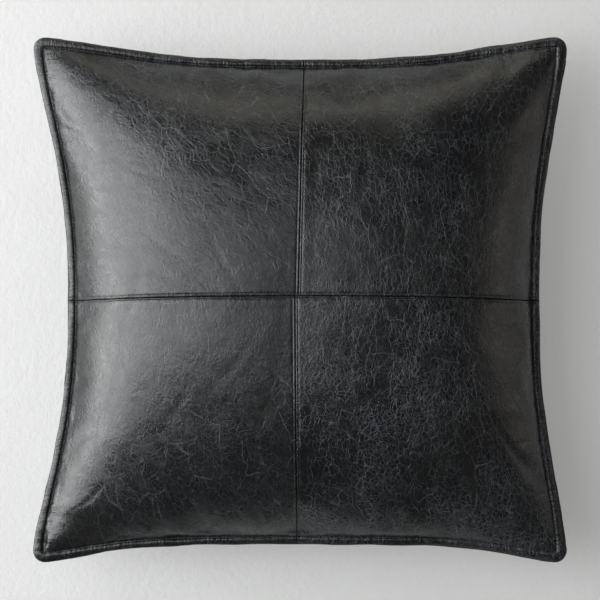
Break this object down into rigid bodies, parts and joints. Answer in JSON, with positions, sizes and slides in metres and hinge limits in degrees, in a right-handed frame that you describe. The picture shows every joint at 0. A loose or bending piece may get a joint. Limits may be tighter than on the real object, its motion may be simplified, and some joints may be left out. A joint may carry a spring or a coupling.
{
  "type": "throw pillow",
  "caption": "Square leather throw pillow: patchwork front, topstitched flange, hidden back zip and a stuffed insert.",
  "frame": {"origin": "middle of the pillow's outline, on the surface its back rests on", "axes": "+Z out of the pillow's front face, +X to the right and +Y up as one looks at that face; the zip is near the -Y edge, on the back"},
  "size_m": [0.506, 0.498, 0.1513],
  "materials": {
    "leather": "soft black leather, semi-gloss with a fine crackle",
    "thread": "black bonded sewing thread",
    "tape": "black woven zip tape",
    "teeth": "black moulded plastic",
    "metal": "dark gunmetal finish",
    "ticking": "off-white woven cotton",
    "fibre": "white fibre filling",
    "label": "blank woven label"
  },
  "bodies": {
    "cover": {"front_panel_upper_left": "leather", "front_panel_upper_right": "leather", "front_panel_lower_left": "leather", "front_panel_lower_right": "leather", "back_panel_upper": "leather", "back_panel_lower": "leather", "topstitch_upper_left": "thread", "topstitch_upper_right": "thread", "topstitch_lower_left": "thread", "topstitch_lower_right": "thread", "topstitch_across_above": "thread", "topstitch_across_below": "thread", "edge_topstitch_front": "thread", "edge_topstitch_back": "thread", "zip_topstitch_upper": "thread", "zip_topstitch_lower": "thread", "insert_seam_thread": "thread", "zip_tape_upper": "tape", "zip_tape_lower": "tape", "zip_teeth_upper": "teeth", "zip_teeth_lower": "teeth", "zip_top_stop_upper": "metal", "zip_top_stop_lower": "metal", "zip_bottom_stop": "metal", "insert_cloth_front": "ticking", "insert_cloth_back": "ticking", "fibre_filling": "fibre", "care_label": "label"},
    "slider": {"zip_slider": "metal", "zip_pull_pin": "metal"},
    "pull": {"zip_pull_tab": "metal"}
  },
  "joints": [
    {"name": "zip_travel", "type": "slide", "parent": "cover", "child": "slider", "axis": [1, 0, 0], "range_m": [-0.2837, 0], "deforming": ["zip_teeth_upper", "zip_teeth_lower"]},
    {"name": "pull_swing", "type": "hinge", "parent": "slider", "child": "pull", "pos_m": [0.14185, -0.20068, 0.0262], "axis": [0, -0.8008, 0.5989], "range_deg": [-85, 85]}
  ]
}
